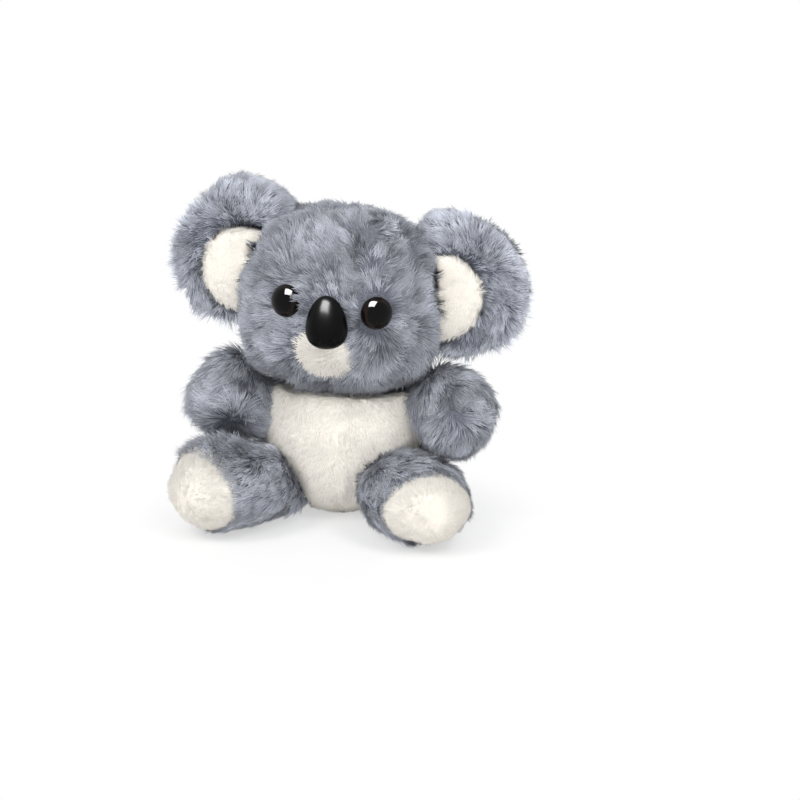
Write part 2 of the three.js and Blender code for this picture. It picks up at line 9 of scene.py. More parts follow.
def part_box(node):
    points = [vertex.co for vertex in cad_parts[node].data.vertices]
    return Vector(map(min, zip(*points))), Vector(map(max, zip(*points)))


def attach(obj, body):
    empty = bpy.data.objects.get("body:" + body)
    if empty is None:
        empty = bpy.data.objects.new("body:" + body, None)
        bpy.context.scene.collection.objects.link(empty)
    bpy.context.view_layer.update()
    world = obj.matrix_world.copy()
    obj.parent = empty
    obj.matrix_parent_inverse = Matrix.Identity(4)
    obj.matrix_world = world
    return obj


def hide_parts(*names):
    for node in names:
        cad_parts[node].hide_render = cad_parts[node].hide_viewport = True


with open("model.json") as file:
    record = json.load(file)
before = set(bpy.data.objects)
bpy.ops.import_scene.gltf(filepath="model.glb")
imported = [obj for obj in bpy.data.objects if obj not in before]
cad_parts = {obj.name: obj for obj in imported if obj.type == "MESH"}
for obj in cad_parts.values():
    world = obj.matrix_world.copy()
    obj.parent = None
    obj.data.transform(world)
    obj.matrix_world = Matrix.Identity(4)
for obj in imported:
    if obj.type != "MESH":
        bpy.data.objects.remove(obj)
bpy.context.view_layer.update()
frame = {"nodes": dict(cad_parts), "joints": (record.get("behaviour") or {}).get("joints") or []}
mm = 0.001
print("frame loaded")

# Camera, where the photograph was taken from
camera = {"azimuth": 8, "elevation": 15, "distance": 1.3, "pixelsPerMm": 1.493,
          "seatAt": (347, 505), "imageSide": 800}


def makeCamera(c):
    turn, tilt = math.radians(c["azimuth"]), math.radians(c["elevation"])
    away = Vector((math.sin(turn) * math.cos(tilt), -math.cos(turn) * math.cos(tilt), math.sin(tilt)))
    right = Vector((math.cos(turn), math.sin(turn), 0))
    up = away.cross(right)
    middle = c["imageSide"] / 2
    aside = (middle - c["seatAt"][0]) / c["pixelsPerMm"] * mm
    above = (c["seatAt"][1] - middle) / c["pixelsPerMm"] * mm
    target = right * aside + up * above
    data = bpy.data.cameras.new("camera")
    data.lens = c["pixelsPerMm"] * c["distance"] / mm * data.sensor_width / c["imageSide"]
    obj = bpy.data.objects.new("camera", data)
    obj.location = target + away * c["distance"]
    obj.rotation_euler = (-away).to_track_quat("-Z", "Y").to_euler()
    bpy.context.scene.collection.objects.link(obj)
    bpy.context.scene.camera = obj


makeCamera(camera)
print("camera placed")


# Shader sums written on sockets
class Value:
    def __init__(self, tree, socket):
        self.tree = tree
        self.socket = socket

    def maths(self, operation, a, b):
        return self.tree.add("ShaderNodeMath", {"operation": operation}, {0: a, 1: b})

    def __add__(self, other):
        return self.maths("ADD", self, other)

    __radd__ = __add__

    def __mul__(self, other):
        return self.maths("MULTIPLY", self, other)

    __rmul__ = __mul__

    def __rsub__(self, other):
        return self.maths("SUBTRACT", other, self)


# The nodes of one material, or of the world
class Shader:
    def __init__(self, owner, ending="ShaderNodeOutputMaterial"):
        owner.use_nodes = True
        self.owner = owner
        self.ending = ending
        self.nodes = owner.node_tree.nodes
        self.links = owner.node_tree.links
        self.nodes.clear()

    def add(self, kind, settings=None, inputs=None, output=0):
        node = self.nodes.new(kind)
        for key, value in (settings or {}).items():
            if key == "stops":
                self.setStops(node.color_ramp, value)
            else:
                setattr(node, key, value)
        for key, value in (inputs or {}).items():
            if isinstance(value, Value):
                self.links.new(value.socket, node.inputs[key])
            else:
                node.inputs[key].default_value = value
        return Value(self, node.outputs[output])

    def setStops(self, ramp, stops):
        while len(ramp.elements) < len(stops):
            ramp.elements.new(0.5)
        for element, (place, colour) in zip(ramp.elements, stops):
            element.position = place
            element.color = (*colour, 1)

    def place(self):
        return self.add("ShaderNodeTexCoord", output="Object")

    def noise(self, scale, detail):
        return self.add("ShaderNodeTexNoise", inputs={
            "Vector": self.place(), "Scale": scale, "Detail": detail})

    def ramp(self, stops, along):
        return self.add("ShaderNodeValToRGB", {"stops": stops}, {"Fac": along})

    def finish(self, surface):
        end = self.nodes.new(self.ending)
        self.links.new(surface.socket, end.inputs["Surface"])
        return self.owner


# Materials: colours run from the root of a strand to its tip. The darker roots are partly the fur's own
# tipped colour and partly painted shade deep in the pile
greyPile = {
    "stops": [(0.0, (0.06, 0.065, 0.08)), (0.28, (0.15, 0.159, 0.189)),
              (0.62, (0.292, 0.308, 0.352)), (1.0, (0.5, 0.518, 0.57))],
    # painted shade: the grey backing is as dark as the shaded roots above it
    "backing": [(0.3, (0.07, 0.076, 0.096)), (0.7, (0.16, 0.171, 0.206))],
    "bright": {"level": 0.32, "byStrand": 0.24, "byLock": 1.38},
    "patch": 0.58,  # how dark the darkest patches are
    "roughness": 0.72,
    "sheen": 0.08,
}
whitePile = {
    "stops": [(0.0, (0.895, 0.85, 0.775)), (0.4, (0.91, 0.87, 0.8)), (1.0, (0.925, 0.89, 0.826))],
    # painted shade: the white backing is darker than the pile, to match the pile's self-shaded look
    "backing": [(0.3, (0.68, 0.64, 0.57)), (0.7, (0.77, 0.73, 0.66))],
    "bright": {"level": 0.95, "byStrand": 0.04, "byLock": 0.04},
    "patch": 0.95,
    "roughness": 0.85,
    "sheen": 0.1,
}
pileFinish = {"patchScale": 62.0, "sheenRoughness": 0.5, "specular": 0.02}
knitFinish = {"scale": 900.0, "detail": 3.0, "roughness": 0.95, "specular": 0.1, "bump": 0.4,
              "depth": 0.6 * mm}
eyeFinish = {
    "stops": [(0.0, (0.001, 0.001, 0.001)), (0.7, (0.001, 0.001, 0.001)), (0.78, (0.009, 0.004, 0.003)),
              (0.9, (0.006, 0.003, 0.002)), (0.97, (0.001, 0.001, 0.001))],
    "roughness": 0.03, "specular": 0.12}
noseFinish = {
    "stops": [(0.0, (0.002, 0.002, 0.002)), (1.0, (0.001, 0.001, 0.001))],
    "roughness": 0.24, "specular": 0.065}
glossHaze = {"scale": 160.0, "roughness": 0.03}
linenFinish = {"stops": [(0.3, (0.5, 0.46, 0.38)), (0.7, (0.72, 0.67, 0.58))],
               "scale": 700.0, "roughness": 0.9}
plasticFinish = {"stops": [(0.3, (0.72, 0.72, 0.7)), (0.7, (0.85, 0.85, 0.83))],
                 "scale": 90.0, "roughness": 0.45}
# What a plain finish has where its own settings don't say
plainUsual = {"detail": 4.0, "specular": 0.5, "bump": 0.2, "depth": 0.4 * mm}


def pileMaterial(name, c):
    s = Shader(bpy.data.materials.new(name))
    pile = s.add("ShaderNodeAttribute", {"attribute_name": "pile"})
    along, strand, lock = (
        s.add("ShaderNodeSeparateColor", inputs={"Color": pile}, output=k) for k in range(3))
    colour = s.ramp(c["stops"], along)
    patch = s.noise(pileFinish["patchScale"], 2.0)
    parts = c["bright"]
    # lock is the lock's tone: random, with painted shade at lock edges and along creases
    bright = parts["level"] + strand * parts["byStrand"] + lock * parts["byLock"]
    bright = bright * (c["patch"] + patch * (2 - 2 * c["patch"]))
    colour = s.add("ShaderNodeVectorMath", {"operation": "SCALE"}, {0: colour, "Scale": bright})
    return s.finish(s.add("ShaderNodeBsdfPrincipled", inputs={
        "Base Color": colour, "Roughness": c["roughness"], "Sheen Weight": c["sheen"],
        "Sheen Roughness": pileFinish["sheenRoughness"], "Specular IOR Level": pileFinish["specular"]}))


def glossMaterial(name, c):
    s = Shader(bpy.data.materials.new(name))
    ring = s.add("ShaderNodeAttribute", {"attribute_name": "ring"}, output="Fac")
    haze = s.noise(glossHaze["scale"], 2.0)
    return s.finish(s.add("ShaderNodeBsdfPrincipled", inputs={
        "Base Color": s.ramp(c["stops"], ring), "Roughness": c["roughness"] + haze * glossHaze["roughness"],
        "Specular IOR Level": c["specular"]}))


def plainMaterial(name, own):
    s = Shader(bpy.data.materials.new(name))
    c = {**plainUsual, **own}
    grain = s.noise(c["scale"], c["detail"])
    bump = s.add("ShaderNodeBump", inputs={"Height": grain, "Strength": c["bump"], "Distance": c["depth"]})
    return s.finish(s.add("ShaderNodeBsdfPrincipled", inputs={
        "Base Color": s.ramp(c["stops"], grain), "Roughness": c["roughness"], "Normal": bump,
        "Specular IOR Level": c["specular"]}))


pileMaterials, backings = {}, {}
for colour, c in (("grey", greyPile), ("white", whitePile)):
    pileMaterials[colour] = pileMaterial(f"{colour}Pile", c)
    backings[colour] = plainMaterial(f"{colour}Backing", {**knitFinish, "stops": c["backing"]})
glosses = {"eye_gloss": glossMaterial("eyeGloss", eyeFinish),
           "nose_gloss": glossMaterial("noseGloss", noseFinish)}
linen = plainMaterial("pelletBagLinen", linenFinish)
plastic = plainMaterial("washerPlastic", plasticFinish)
print("materials made")


# Meshes as arrays
def arraysOf(mesh):
    mesh.calc_loop_triangles()
    places = np.empty(len(mesh.vertices) * 3)
    mesh.vertices.foreach_get("co", places)
    corners = np.empty(len(mesh.loop_triangles) * 3, np.int32)
    mesh.loop_triangles.foreach_get("vertices", corners)
    return places.reshape(-1, 3), corners.reshape(-1, 3)


def joinedArrays(names):
    places, corners, count = [], [], 0
    for name in names:
        p, c = arraysOf(frame["nodes"][name].data)
        places.append(p)
        corners.append(c + count)
        count += len(p)
    return np.concatenate(places), np.concatenate(corners)


def makeMesh(name, places, corners):
    mesh = bpy.data.meshes.new(name)
    mesh.vertices.add(len(places))
    mesh.vertices.foreach_set("co", np.ascontiguousarray(places, np.float32).ravel())
    mesh.loops.add(corners.size)
    mesh.loops.foreach_set("vertex_index", corners.ravel().astype(np.int32))
    mesh.polygons.add(len(corners))
    mesh.polygons.foreach_set("loop_start", np.arange(0, corners.size, 3, dtype=np.int32))
    mesh.polygons.foreach_set("use_smooth", np.ones(len(corners), bool))
    mesh.update(calc_edges=True)
    return mesh


def makeObject(name, mesh):
    obj = bpy.data.objects.new(name, mesh)
    bpy.context.scene.collection.objects.link(obj)
    return obj


def unit(v):
    return v / np.maximum(np.linalg.norm(v, axis=-1, keepdims=True), 1e-9)


def vertexNormals(places, corners):
    a, b, c = (places[corners[:, k]] for k in range(3))
    across = np.cross(b - a, c - a)
    normals = np.zeros_like(places)
    for k in range(3):
        np.add.at(normals, corners[:, k], across)
    return unit(normals)


def smoothed(places, corners, rounds):
    sides = np.concatenate([corners[:, [k, (k + 1) % 3]] for k in range(3)])
    edges = np.unique(np.sort(sides, 1), axis=0)
    count = np.bincount(edges.ravel(), minlength=len(places))[:, None]
    for _ in range(rounds):
        total = np.zeros_like(places)
        np.add.at(total, edges[:, 0], places[edges[:, 1]])
        np.add.at(total, edges[:, 1], places[edges[:, 0]])
        places = 0.5 * places + 0.5 * total / np.maximum(count, 1)
    return places


def largestIsland(places, corners):
    label = np.arange(len(places))
    while True:
        low = label[corners].min(1)
        fresh = label.copy()
        for k in range(3):
            np.minimum.at(fresh, corners[:, k], low)
        fresh = fresh[fresh]
        if (fresh == label).all():
            break
        label = fresh
    sizes = np.bincount(label[corners[:, 0]])
    keep = label[corners[:, 0]] == sizes.argmax()
    used, corners = np.unique(corners[keep], return_inverse=True)
    return places[used], corners.reshape(-1, 3)


def remeshed(places, corners, voxel):
    obj = makeObject("rough", makeMesh("rough", places, corners))
    remesh = obj.modifiers.new("voxels", "REMESH")
    remesh.mode = "VOXEL"
    remesh.voxel_size = voxel
    graph = bpy.context.evaluated_depsgraph_get()
    places, corners = arraysOf(obj.evaluated_get(graph).to_mesh())
    mesh = obj.data
    bpy.data.objects.remove(obj)
    bpy.data.meshes.remove(mesh)
    return largestIsland(places, corners)


waves = {"count": 7, "lengths": (0.7, 1.6), "evenedBy": 2.6}


# Smooth unevenness from a few waves, the same on every run
def wander(points, length, seed):
    rng = np.random.default_rng(seed)
    total = np.zeros(len(points))
    for _ in range(waves["count"]):
        way = unit(rng.normal(size=3)) * 2 * math.pi / (length * rng.uniform(*waves["lengths"]))
        total += np.sin(points @ way + rng.uniform(0, 2 * math.pi))
    return total / waves["evenedBy"]


# Soft forms under the pile. The pads of the ears swell out a little
cloth = {"voxel": 2.6 * mm, "rounds": 7, "inset": 3.4 * mm, "finalRounds": 3,
         "unevenness": 0.9 * mm, "waveLength": 34 * mm, "seed": 5, "floorGap": 0.6 * mm}
fullCloth = {**cloth, "inset": 1.2 * mm}
pad = {**cloth, "voxel": 1.7 * mm, "rounds": 3, "inset": -2.2 * mm, "finalRounds": 2, "unevenness": 0.4 * mm}
hug = {"grip": 1.6, "fade": 2}
skinFill = 0.8


# A sewn-on piece reaches over to what carries it
def hugging(places, corners, carrier, reach):
    normals = vertexNormals(places, corners)
    moved = places.copy()
    for i, (place, normal) in enumerate(zip(places, normals)):
        point = Vector(place)
        hit, outward, _, gap = carrier.tree.find_nearest(point, reach)
        if hit is None or gap < 1e-6 or (point - hit).dot(outward) < 0:
            continue
        towards = (hit - point) / gap
        facing = towards.dot(Vector(normal))
        pull = min(1, max(0, facing * hug["grip"])) * min(1, hug["fade"] * (1 - gap / reach))
        moved[i] = place + np.array(towards) * gap * pull
    return moved


class Form:
    # covers gives each node's colour, inner the nodes inside, and shift is in mm
    def __init__(self, body, covers, inner, tucks=(), carrier=None, reach=20 * mm, make=cloth,
                 shift=(0, 0, 0)):
        self.body = body
        self.covers = covers
        places, corners = joinedArrays([*covers, *inner])
        places = places + np.array(shift) * mm
        places, corners = remeshed(places, corners, make["voxel"])
        places = smoothed(places, corners, make["rounds"])
        places = places - vertexNormals(places, corners) * make["inset"]
        if carrier:
            places = hugging(places, corners, carrier, reach)
        places, corners = remeshed(places, corners, make["voxel"])
        places = smoothed(places, corners, make["finalRounds"])
        normals = vertexNormals(places, corners)
        uneven = wander(places, make["waveLength"], make["seed"]) * make["unevenness"]
        places = places + normals * uneven[:, None]
        for tuck in tucks:
            near = nearness(places, tuck["at"], tuck["radius"])
            places = places - normals * (near * tuck["depth"])[:, None]
        places[:, 2] = np.maximum(places[:, 2], make["floorGap"])
        self.places, self.corners = places, corners
        self.normals = vertexNormals(places, corners)
        self.facing = self.normals[corners].mean(1)
        self.tree = BVHTree.FromPolygons(places.tolist(), corners.tolist())
        self.replaced = [*covers, *inner]

    def makeSkin(self, name, fill):
        obj = makeObject(name, makeMesh(name, self.places, self.corners))
        colours = sorted(set(self.covers.values()))
        for colour in colours:
            obj.data.materials.append(backings[colour])
        nodes, _ = nearestCover(self.covers, self.places[self.corners].mean(1))
        index = [colours.index(self.covers[node]) for node in nodes]
        obj.data.polygons.foreach_set("material_index", index)
        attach(obj, self.body)
        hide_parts(*self.replaced)
        return obj


coverTrees = {}
chinShift = {"across": 1.6 * mm, "down": 1.5 * mm}


# Which cover a point lies on, and how far it is from the seam with another colour
def nearestCover(covers, points):
    names = list(covers)
    if "chin_patch" in names:
        points = points + headAcross * chinShift["across"] - headUp * chinShift["down"]
    for name in names:
        if name not in coverTrees:
            places, corners = arraysOf(frame["nodes"][name].data)
            coverTrees[name] = BVHTree.FromPolygons(places.tolist(), corners.tolist())
    gaps = np.array([[coverTrees[name].find_nearest(point)[3] for name in names]
                     for point in points.tolist()])
    nearest = gaps.argmin(1)
    colours = np.array([covers[name] for name in names])
    other = np.where(colours[None] != colours[nearest][:, None], gaps, 1.0)
    return np.array(names)[nearest], other.min(1) - gaps.min(1)


# Pile
pileCommon = {
    "seed": 100,
    "clumpGap": 2.15 * mm,
    "cell": 0.93,  # of that gap
    "tries": 5,  # at random, for each clump
    "strandsPerClump": 6,
    "clumpSpread": 1.7 * mm,
    "lock": 8.0 * mm,
    "lockDepth": 3 * mm,
    "lockReach": 0.55,
    "stations": (0.0, 0.38, 0.72, 1.0),
    "taper": (1.0, 0.9, 0.6),
    "flatness": 0.7,
    "tipShade": 0.15,
    "gatherPower": 1.3,
    "lockPower": 1.6,
    "rootDepth": 1.0 * mm,
    "floorGap": 0.5 * mm,
    "mostStrands": 12400,  # in one object
}
# How strands and clumps differ within one pile
pileVaries = {
    "swirlLength": 22 * mm, "clumpTurn": 0.14, "strandTurn": 0.2,
    "clumpLength": (0.82, 1.18), "strandLength": (0.76, 1.08), "shortest": 2.5 * mm,
    "atSeam": 0.42, "roomForFull": 16 * mm, "roomForFlat": 20 * mm,
    "clumpLift": (0.75, 1.3), "strandLift": (0.8, 1.2), "liftLimits": (0.1, 0.95), "droop": (0.8, 1.2),
    "sway": 0.1, "swayLength": 9 * mm, "strandSway": 0.07, "thickness": (0.75, 1.25),
    # toneByMiddle lightens a lock's middle against its edges: painted shade between locks
    "toneByLock": 0.42, "toneByClump": 0.42, "toneByMiddle": 0.16,
}
# What a pile has where its own settings below don't say
pileUsual = {
    "swirl": 0.42, "seamFade": 12 * mm, "crowded": 0.6, "fluff": 0.0, "tone": 0, "lockPull": 0.45,
    "roundness": 0.45, "width": 0.25 * mm, "share": 1, "clearOf": (), "clearance": 0,
}
stations = np.array(pileCommon["stations"])[:, None]
# A strand is a three-sided tapered tube of ten points
strandPoints = 10
strandFaces, strandMap = [(2, 1, 0)], [(0.9, 0.0), (0.5, 0.09), (0.1, 0.0)]
levels = (0.12, 0.42, 0.7, 0.97)
for ring in range(2):
    for k in range(3):
        near, far = ring * 3 + k, ring * 3 + (k + 1) % 3
        strandFaces += [(near, far, far + 3), (near, far + 3, near + 3)]
        left, right, low, high = k / 3, (k + 1) / 3, levels[ring], levels[ring + 1]
        strandMap += [(left, low), (right, low), (right, high), (left, low), (right, high), (left, high)]
for k in range(3):
    strandFaces.append((6 + k, 6 + (k + 1) % 3, 9))
    strandMap += [(k / 3, levels[2]), ((k + 1) / 3, levels[2]), ((k + 0.5) / 3, levels[3])]
strandFaces, strandMap = np.array(strandFaces), np.array(strandMap)
mapBorder = 0.08


cellPrimes = np.array([73856093, 19349663, 83492791])


# A number for the cube of space that each point is in
def cellsOf(places, size):
    return np.floor(places / size).astype(np.int64) @ cellPrimes


# Points spread evenly over a form: many at random, then the first in each cell
def spreadOver(form, gap, rng):
    a, b, c = (form.places[form.corners[:, k]] for k in range(3))
    area = np.linalg.norm(np.cross(b - a, c - a), axis=1) / 2
    count = int(area.sum() / gap ** 2 * pileCommon["tries"])
    faces = rng.choice(len(area), count, p=area / area.sum())
    u, v = rng.random((2, count))
    flip = u + v > 1
    u[flip], v[flip] = 1 - u[flip], 1 - v[flip]
    weights = np.stack([1 - u - v, u, v], 1)[:, :, None]
    places = (form.places[form.corners[faces]] * weights).sum(1)
    normals = unit((form.normals[form.corners[faces]] * weights).sum(1))
    _, first = np.unique(cellsOf(places, gap * pileCommon["cell"]), return_index=True)
    return places[first], normals[first]


roomTest = {"reach": 30 * mm, "above": 2.5 * mm, "far": 14 * mm}


# How much room each point has before the next form, below 0 where that form covers it
def roomAround(others, places, normals):
    room = np.full(len(places), roomTest["reach"])
    for i, (place, normal) in enumerate(zip(places, normals)):
        test = Vector(place + normal * roomTest["above"])
        for other in others:
            hit, _, face, gap = other.tree.find_nearest(test, roomTest["reach"])
            if hit is not None:
                outside = gap > roomTest["far"] or (test - hit).dot(Vector(other.facing[face])) > 0
                room[i] = min(room[i], gap if outside else -gap)
    return room


def nearness(places, at, radius):
    return np.exp(-(np.linalg.norm(places - at, axis=1) / radius) ** 2)


# Which way the pile lies, along the cloth
def combOver(places, normals, comb):
    way = np.zeros_like(places)
    for source in comb:
        if "along" in source:
            push = np.broadcast_to(np.array(source["along"], float), places.shape)
        else:
            push = unit(places - source["away"])
        weight = source.get("weight", 1.0)
        if "radius" in source:
            middle = source.get("near", source.get("away"))
            weight = weight * nearness(places, middle, source["radius"])[:, None]
        way = way + push * weight
    way = way - normals * (way * normals).sum(1, keepdims=True)
    return unit(way)


def turnedIn(way, normals, angle):
    side = np.cross(normals, way)
    return way * np.cos(angle)[:, None] + side * np.sin(angle)[:, None]


def strandPaths(roots, normals, ways, length, lift, droop, sway):
    roots, normals, ways = (part[:, None, :] for part in (roots, normals, ways))
    length, lift, droop, sway = (part[:, None, None] for part in (length, lift, droop, sway))
    up = lift * stations - droop * stations ** 2
    out = np.sqrt(np.maximum(1 - lift ** 2, 0.05)) * stations
    aside = sway * stations ** 2
    return roots + length * (normals * up + ways * out + np.cross(normals, ways) * aside)


# Where each clump stands and how it lies
def clumpsOf(c, spots, rng):
    centres, normals = spots["places"], spots["normals"]
    count = len(centres)
    ways = combOver(centres, normals, c["comb"])
    swirl = c["swirl"] * wander(centres, pileVaries["swirlLength"], c["seed"])
    ways = turnedIn(ways, normals, swirl + rng.normal(0, pileVaries["clumpTurn"], count))
    length = c["length"](centres) if callable(c["length"]) else np.full(count, c["length"])
    length = length * rng.uniform(*pileVaries["clumpLength"], count)
    length = length * np.clip(pileVaries["atSeam"] + spots["seam"] / c["seamFade"], 0, 1)
    length = length * np.clip(c["crowded"] + spots["room"] / pileVaries["roomForFull"], c["crowded"], 1)
    lift = c["lift"] * rng.uniform(*pileVaries["clumpLift"], count)
    lift = lift + c["fluff"] * np.clip(1 - spots["room"] / pileVaries["roomForFlat"], 0, 1)
    # A tuft's tone darkens the clumps near it: painted shade in creases and beside folds
    shading = np.zeros(count)
    for tuft in c["tufts"]:
        near = nearness(centres, tuft["at"], tuft["radius"])
        length = length + tuft["longer"] * near
        lift = lift + tuft["lift"] * near
        shading = np.minimum(shading, tuft.get("tone", 0) * near)
    clumps = {
        "centres": centres, "normals": normals, "ways": ways, "shading": shading,
        "length": np.maximum(length, pileVaries["shortest"]),
        "lift": np.clip(lift, *pileVaries["liftLimits"]),
        "droop": c["droop"] * rng.uniform(*pileVaries["droop"], count),
        "sway": pileVaries["sway"] * wander(centres, pileVaries["swayLength"], c["seed"] + 500),
    }
    order = np.argsort(centres[:, 0])
    return {key: part[order] for key, part in clumps.items()}


# Neighbouring clumps lean together in locks, and each lock has its own random tone, made darker towards its
# edges as painted shade in the gaps between locks
def locksOf(c, clumps, rng):
    centres, normals = clumps["centres"], clumps["normals"]
    cells = cellsOf(centres + pileCommon["lockDepth"] * normals, pileCommon["lock"])
    lockOf = np.unique(cells, return_inverse=True)[1]
    middle = np.zeros((lockOf.max() + 1, 3))
    np.add.at(middle, lockOf, centres)
    middle /= np.bincount(lockOf)[:, None]
    inward = middle[lockOf] - centres
    inward = inward - normals * (inward * normals).sum(1, keepdims=True)
    edge = np.clip(np.linalg.norm(inward, axis=1) / (pileCommon["lockReach"] * pileCommon["lock"]), 0, 1)
    # clumps["shading"] is the painted shade of creases and folds
    tone = c["tone"] + clumps["shading"] + pileVaries["toneByLock"] * rng.random(lockOf.max() + 1)[lockOf]
    tone = tone + pileVaries["toneByClump"] * rng.random(len(centres))
    return inward, tone + pileVaries["toneByMiddle"] * (1 - edge)


# Which strands stay out of the eyes, the nose and the forms given
def keptClear(paths, guards, c):
    keep = np.ones(len(paths), bool)
    for guard in guards:
        off = paths - guard["at"]
        rise = off @ guard["axis"]
        wide = np.linalg.norm(off - rise[:, :, None] * guard["axis"], axis=2)
        near = rise > -guardDepth
        keep &= ~((wide[:, 0] < guard["root"]) & near[:, 0])
        keep &= ~((wide[:, 1:] < guard["tip"]) & near[:, 1:]).any(1)
    for other in c["clearOf"]:
        for step in (2, 3):
            gaps = np.array([other.tree.find_nearest(place)[3] for place in paths[:, step].tolist()])
            keep &= gaps > c["clearance"]
    return keep


# The points of every strand round its path, and the way each of them shades
def strandTubes(paths, normals, thick, roundness):
    heading = np.empty_like(paths)
    heading[:, 1:-1] = paths[:, 2:] - paths[:, :-2]
    heading[:, 0] = paths[:, 1] - paths[:, 0]
    heading[:, -1] = paths[:, -1] - paths[:, -2]
    heading = unit(heading)
    across = unit(np.cross(heading, normals[:, None, :]))
    over = np.cross(heading, across)
    places = np.empty((len(paths), strandPoints, 3))
    bend = np.empty((len(paths), strandPoints, 3))
    for ring in range(3):
        for k in range(3):
            turn = math.radians(120 * k - 90)
            spoke = math.cos(turn) * across[:, ring] + pileCommon["flatness"] * math.sin(turn) * over[:, ring]
            places[:, ring * 3 + k] = paths[:, ring] + spoke * (thick * pileCommon["taper"][ring])[:, None]
            bend[:, ring * 3 + k] = normals + roundness * spoke
    places[:, -1] = paths[:, 3]
    bend[:, -1] = normals + pileCommon["tipShade"] * heading[:, 3]
    return places, unit(bend)


def growPile(name, form, colour, c, spots, guards):
    rng = np.random.default_rng(c["seed"])
    clumps = clumpsOf(c, spots, rng)
    inward, tone = locksOf(c, clumps, rng)
    centres, normals, ways, length, lift, droop, sway = (
        clumps[key] for key in ("centres", "normals", "ways", "length", "lift", "droop", "sway"))
    count, each = len(centres), pileCommon["strandsPerClump"]
    depth = pileCommon["rootDepth"]

    leaders = strandPaths(centres - normals * depth, normals, ways, length, lift, droop, sway)
    side = np.cross(normals, ways)
    radius = pileCommon["clumpSpread"] * np.sqrt(rng.random((count, each)))
    angle = rng.uniform(0, 2 * math.pi, (count, each))
    shift = (ways[:, None, :] * (radius * np.cos(angle))[:, :, None]
             + side[:, None, :] * (radius * np.sin(angle))[:, :, None])
    roots = (centres[:, None, :] + shift - normals[:, None, :] * depth).reshape(-1, 3)
    clump = np.repeat(np.arange(count), each)
    every = len(clump)
    strandNormals = normals[clump]
    paths = strandPaths(
        roots, strandNormals,
        turnedIn(ways[clump], strandNormals, rng.normal(0, pileVaries["strandTurn"], every)),
        length[clump] * rng.uniform(*pileVaries["strandLength"], every),
        lift[clump] * rng.uniform(*pileVaries["strandLift"], every),
        droop[clump], sway[clump] + rng.normal(0, pileVaries["strandSway"], every))
    pull = c["gather"] * stations ** pileCommon["gatherPower"]
    paths = paths * (1 - pull) + leaders[clump] * pull
    paths = paths + inward[clump][:, None, :] * c["lockPull"] * stations ** pileCommon["lockPower"]
    paths[:, :, 2] = np.maximum(paths[:, :, 2], pileCommon["floorGap"])

    keep = keptClear(paths, guards, c)
    paths, clump, strandNormals = paths[keep], clump[keep], strandNormals[keep]
    strands = len(paths)
    thick = c["width"] * rng.uniform(*pileVaries["thickness"], strands)
    places, bend = strandTubes(paths, strandNormals, thick, c["roundness"])

    # How far along the strand, the strand's own tone, and its lock's tone, which holds painted shade at lock
    # edges and creases
    tint = np.ones((strands, strandPoints, 4), np.float32)
    tint[:, :-1, 0] = np.repeat(stations[:3, 0], 3)
    tint[:, -1, 0] = 1.0
    tint[:, :, 1] = rng.random(strands)[:, None]
    tint[:, :, 2] = tone[clump][:, None]
    parts = math.ceil(strands / pileCommon["mostStrands"])
    for part in range(parts):
        own = slice(strands * part // parts, strands * (part + 1) // parts)
        partName = f"{name}_{part + 1}" if parts > 1 else name
        makePile(partName, form.body, colour, places[own], bend[own], tint[own])
    return strands


def makePile(name, body, colour, places, bend, tint):
    strands = len(places)
    corners = (strandFaces[None] + (np.arange(strands) * strandPoints)[:, None, None]).reshape(-1, 3)
    mesh = makeMesh(name, places.reshape(-1, 3), corners)
    mesh.materials.append(pileMaterials[colour])
    mesh.normals_split_custom_set_from_vertices(bend.reshape(-1, 3).tolist())
    mesh.attributes.new("pile", "FLOAT_COLOR", "POINT").data.foreach_set("color", tint.ravel())
    grid = math.ceil(math.sqrt(strands))
    cell = np.stack([np.arange(strands) % grid, np.arange(strands) // grid], 1)[:, None, :]
    mapped = (cell + mapBorder + (1 - 2 * mapBorder) * strandMap[None]) / grid
    mesh.uv_layers.new(name="OFBake").data.foreach_set("uv", mapped.astype(np.float32).ravel())
    obj = makeObject(name, mesh)
    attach(obj, body)


def centreOf(node):
    low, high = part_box(node)
    return np.array((low + high) / 2)


def jointPlace(name):
    return np.array(next(j for j in frame["joints"] if j["name"] == name)["pos_m"])


# Eyes and nose
tipDepth = 0.8 * mm


# Where a fitting's inner end is, and which way it looks
def fittingAxis(node):
    places, _ = arraysOf(frame["nodes"][node].data)
    middle = centreOf("head_stuffing")
    gap = np.linalg.norm(places - middle, axis=1)
    tip = places[gap < gap.min() + tipDepth].mean(0)
    return tip, unit(places.mean(0) - tip)


eyeTips = {side: fittingAxis(f"eye_{side}") for side in ("left", "right")}
headAcross = unit(centreOf("eye_left") - centreOf("eye_right"))
eyeAxes = {side: axis for side, (_, axis) in eyeTips.items()}
noseOut = unit(eyeAxes["left"] + eyeAxes["right"])
noseOut = unit(noseOut - headAcross * (noseOut @ headAcross))
headUp = np.cross(noseOut, headAcross)

eye = {"radius": 10.3 * mm, "dome": 7.5 * mm, "segments": 56, "rings": 20, "stem": 12.8 * mm,
       "rim": [(0.82, -0.9), (0.97, -0.6), (1.0, 0.0)]}  # the rim's share of the radius, and mm up


# Faces between rows of n points, closed by one point below and one above
def roundFaces(rows, n, flipped):
    steps = [((s + 1) % n, s) if flipped else (s, (s + 1) % n) for s in range(n)]
    last = (rows - 1) * n
    faces = [(r * n + a, r * n + b, (r + 1) * n + b, (r + 1) * n + a)
             for r in range(rows - 1) for a, b in steps]
    below = [(b, a, rows * n) for a, b in steps]
    return faces + below + [(last + a, last + b, rows * n + 1) for a, b in steps]


